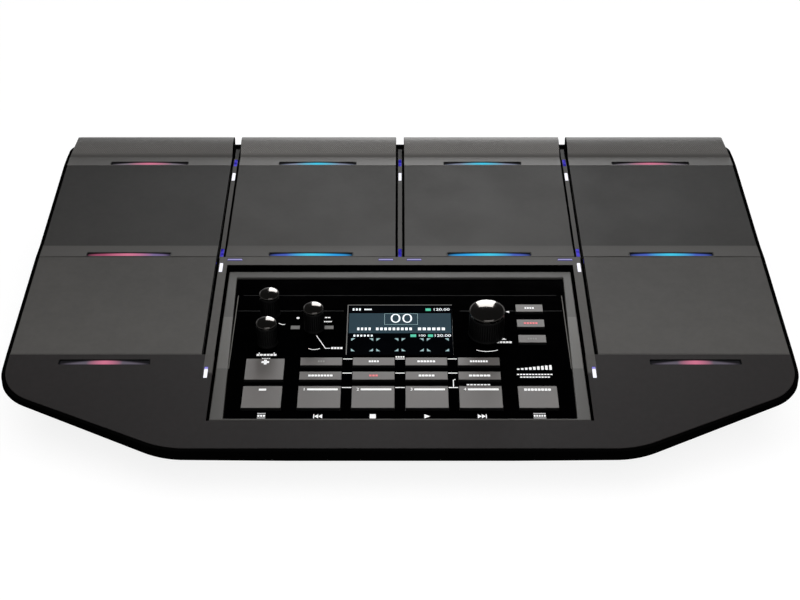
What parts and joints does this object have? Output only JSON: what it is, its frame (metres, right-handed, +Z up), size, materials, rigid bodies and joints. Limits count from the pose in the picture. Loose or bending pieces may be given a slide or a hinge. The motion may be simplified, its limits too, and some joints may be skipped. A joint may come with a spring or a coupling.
{
  "type": "sampling drum pad",
  "caption": "Wedge-shaped electronic drum pad: rubber strike pads with light slots in a plastic case round a sloped panel of keys, knobs, push dial and display; sockets at the rear.",
  "frame": {"origin": "on the table, under the middle of the case", "axes": "+X to the player's right, +Y away from the player, +Z up"},
  "size_m": [0.43, 0.29, 0.0685],
  "materials": {
    "case_grey": "fine moulded grain",
    "case_black": "satin",
    "pad_rubber": "matt, fine grain",
    "bar_rubber": "matt, fine dotted texture",
    "foot_rubber": "matt",
    "screw_steel": "zinc plated",
    "sensor_brass": "plain",
    "light_lens": "frosted, lit from behind",
    "rod_white": "frosted, lit from behind",
    "rod_blue": "frosted, lit from behind",
    "board_green": "solder mask",
    "bezel_grey": "satin",
    "panel_black": "gloss",
    "display_glass": "gloss, lit from behind",
    "module_metal": "plain",
    "switch_black": "satin",
    "pot_metal": "plain",
    "knob_black": "ribbed side, gloss top",
    "spindle_steel": "turned",
    "plunger_white": "plain",
    "key_grey": "translucent satin",
    "rear_black": "satin",
    "socket_black": "satin",
    "nut_steel": "nickel plated",
    "socket_metal": "nickel plated",
    "button_black": "satin"
  },
  "bodies": {
    "case": {"top_case": "case_grey", "bottom_case": "case_black", "rubber_feet": "foot_rubber", "case_screws": "screw_steel", "lower_pad_left": "pad_rubber", "lower_pad_right": "pad_rubber", "pad_sensors": "sensor_brass", "pad_light_lenses": "light_lens", "light_boards": "board_green", "white_light_rods": "rod_white", "blue_light_rods": "rod_blue", "panel_bezel": "bezel_grey", "control_panel": "panel_black", "display_lens": "display_glass", "display_module": "module_metal", "control_board": "board_green", "tact_switches": "switch_black", "level_pots": "pot_metal", "board_screws": "screw_steel", "dial_encoder": "pot_metal", "rear_panel": "rear_black", "jack_sockets": "socket_black", "jack_nuts": "nut_steel", "dc_inlet": "socket_black", "usb_socket": "socket_metal", "main_board": "board_green", "bar_pad_1": "bar_rubber", "upper_pad_1": "pad_rubber", "bar_pad_2": "bar_rubber", "upper_pad_2": "pad_rubber", "bar_pad_3": "bar_rubber", "upper_pad_3": "pad_rubber", "bar_pad_4": "bar_rubber", "upper_pad_4": "pad_rubber"},
    "track_key_1": {"track_key_1": "key_grey"},
    "track_key_2": {"track_key_2": "key_grey"},
    "track_key_3": {"track_key_3": "key_grey"},
    "track_key_4": {"track_key_4": "key_grey"},
    "loop_key_1": {"loop_key_1": "key_grey"},
    "loop_key_2": {"loop_key_2": "key_grey"},
    "loop_key_3": {"loop_key_3": "key_grey"},
    "loop_key_4": {"loop_key_4": "key_grey"},
    "mode_key_1": {"mode_key_1": "key_grey"},
    "mode_key_2": {"mode_key_2": "key_grey"},
    "mode_key_3": {"mode_key_3": "key_grey"},
    "mode_key_4": {"mode_key_4": "key_grey"},
    "plus_key": {"plus_key": "key_grey"},
    "minus_key": {"minus_key": "key_grey"},
    "shift_key": {"shift_key": "key_grey"},
    "menu_key_1": {"menu_key_1": "key_grey"},
    "menu_key_2": {"menu_key_2": "key_grey"},
    "menu_key_3": {"menu_key_3": "key_grey"},
    "upper_level_knob": {"upper_level_knob": "knob_black"},
    "lower_level_knob": {"lower_level_knob": "knob_black"},
    "effect_knob": {"effect_knob": "knob_black"},
    "dial_push": {"dial_plunger": "plunger_white"},
    "dial": {"main_dial": "knob_black", "dial_spindle": "spindle_steel"},
    "power_button": {"power_button": "button_black"}
  },
  "joints": [
    {"name": "track_key_1_press", "type": "slide", "parent": "case", "child": "track_key_1", "axis": [0, 0.1323, -0.9912], "range_m": [0, 0.0008], "stiffness_N_per_m": 1000, "springref_m": -0.0008},
    {"name": "track_key_2_press", "type": "slide", "parent": "case", "child": "track_key_2", "axis": [0, 0.1323, -0.9912], "range_m": [0, 0.0008], "stiffness_N_per_m": 1000, "springref_m": -0.0008},
    {"name": "track_key_3_press", "type": "slide", "parent": "case", "child": "track_key_3", "axis": [0, 0.1323, -0.9912], "range_m": [0, 0.0008], "stiffness_N_per_m": 1000, "springref_m": -0.0008},
    {"name": "track_key_4_press", "type": "slide", "parent": "case", "child": "track_key_4", "axis": [0, 0.1323, -0.9912], "range_m": [0, 0.0008], "stiffness_N_per_m": 1000, "springref_m": -0.0008},
    {"name": "loop_key_1_press", "type": "slide", "parent": "case", "child": "loop_key_1", "axis": [0, 0.1323, -0.9912], "range_m": [0, 0.0008], "stiffness_N_per_m": 1000, "springref_m": -0.0008},
    {"name": "loop_key_2_press", "type": "slide", "parent": "case", "child": "loop_key_2", "axis": [0, 0.1323, -0.9912], "range_m": [0, 0.0008], "stiffness_N_per_m": 1000, "springref_m": -0.0008},
    {"name": "loop_key_3_press", "type": "slide", "parent": "case", "child": "loop_key_3", "axis": [0, 0.1323, -0.9912], "range_m": [0, 0.0008], "stiffness_N_per_m": 1000, "springref_m": -0.0008},
    {"name": "loop_key_4_press", "type": "slide", "parent": "case", "child": "loop_key_4", "axis": [0, 0.1323, -0.9912], "range_m": [0, 0.0008], "stiffness_N_per_m": 1000, "springref_m": -0.0008},
    {"name": "mode_key_1_press", "type": "slide", "parent": "case", "child": "mode_key_1", "axis": [0, 0.1323, -0.9912], "range_m": [0, 0.0008], "stiffness_N_per_m": 1000, "springref_m": -0.0008},
    {"name": "mode_key_2_press", "type": "slide", "parent": "case", "child": "mode_key_2", "axis": [0, 0.1323, -0.9912], "range_m": [0, 0.0008], "stiffness_N_per_m": 1000, "springref_m": -0.0008},
    {"name": "mode_key_3_press", "type": "slide", "parent": "case", "child": "mode_key_3", "axis": [0, 0.1323, -0.9912], "range_m": [0, 0.0008], "stiffness_N_per_m": 1000, "springref_m": -0.0008},
    {"name": "mode_key_4_press", "type": "slide", "parent": "case", "child": "mode_key_4", "axis": [0, 0.1323, -0.9912], "range_m": [0, 0.0008], "stiffness_N_per_m": 1000, "springref_m": -0.0008},
    {"name": "plus_key_press", "type": "slide", "parent": "case", "child": "plus_key", "axis": [0, 0.1323, -0.9912], "range_m": [0, 0.0008], "stiffness_N_per_m": 1000, "springref_m": -0.0008},
    {"name": "minus_key_press", "type": "slide", "parent": "case", "child": "minus_key", "axis": [0, 0.1323, -0.9912], "range_m": [0, 0.0008], "stiffness_N_per_m": 1000, "springref_m": -0.0008},
    {"name": "shift_key_press", "type": "slide", "parent": "case", "child": "shift_key", "axis": [0, 0.1323, -0.9912], "range_m": [0, 0.0008], "stiffness_N_per_m": 1000, "springref_m": -0.0008},
    {"name": "menu_key_1_press", "type": "slide", "parent": "case", "child": "menu_key_1", "axis": [0, 0.1323, -0.9912], "range_m": [0, 0.0008], "stiffness_N_per_m": 1000, "springref_m": -0.0008},
    {"name": "menu_key_2_press", "type": "slide", "parent": "case", "child": "menu_key_2", "axis": [0, 0.1323, -0.9912], "range_m": [0, 0.0008], "stiffness_N_per_m": 1000, "springref_m": -0.0008},
    {"name": "menu_key_3_press", "type": "slide", "parent": "case", "child": "menu_key_3", "axis": [0, 0.1323, -0.9912], "range_m": [0, 0.0008], "stiffness_N_per_m": 1000, "springref_m": -0.0008},
    {"name": "upper_level_knob_turn", "type": "hinge", "parent": "case", "child": "upper_level_knob", "pos_m": [-0.0733, -0.03548, 0.04056], "axis": [0, -0.1323, 0.9912], "range_deg": [-150, 150]},
    {"name": "lower_level_knob_turn", "type": "hinge", "parent": "case", "child": "lower_level_knob", "pos_m": [-0.0733, -0.06085, 0.03717], "axis": [0, -0.1323, 0.9912], "range_deg": [-150, 150]},
    {"name": "effect_knob_turn", "type": "hinge", "parent": "case", "child": "effect_knob", "pos_m": [-0.048, -0.04816, 0.03886], "axis": [0, -0.1323, 0.9912], "range_deg": [-150, 150]},
    {"name": "dial_press", "type": "slide", "parent": "case", "child": "dial_push", "axis": [0, 0.1323, -0.9912], "range_m": [0, 0.0005], "stiffness_N_per_m": 2000, "springref_m": -0.0005},
    {"name": "dial_turn", "type": "hinge", "parent": "dial_push", "child": "dial", "pos_m": [0.048, -0.05292, 0.03823], "axis": [0, -0.1323, 0.9912], "continuous": true},
    {"name": "power_button_press", "type": "slide", "parent": "case", "child": "power_button", "axis": [0, -1, 0], "range_m": [0, 0.002], "stiffness_N_per_m": 800, "springref_m": -0.001}
  ]
}
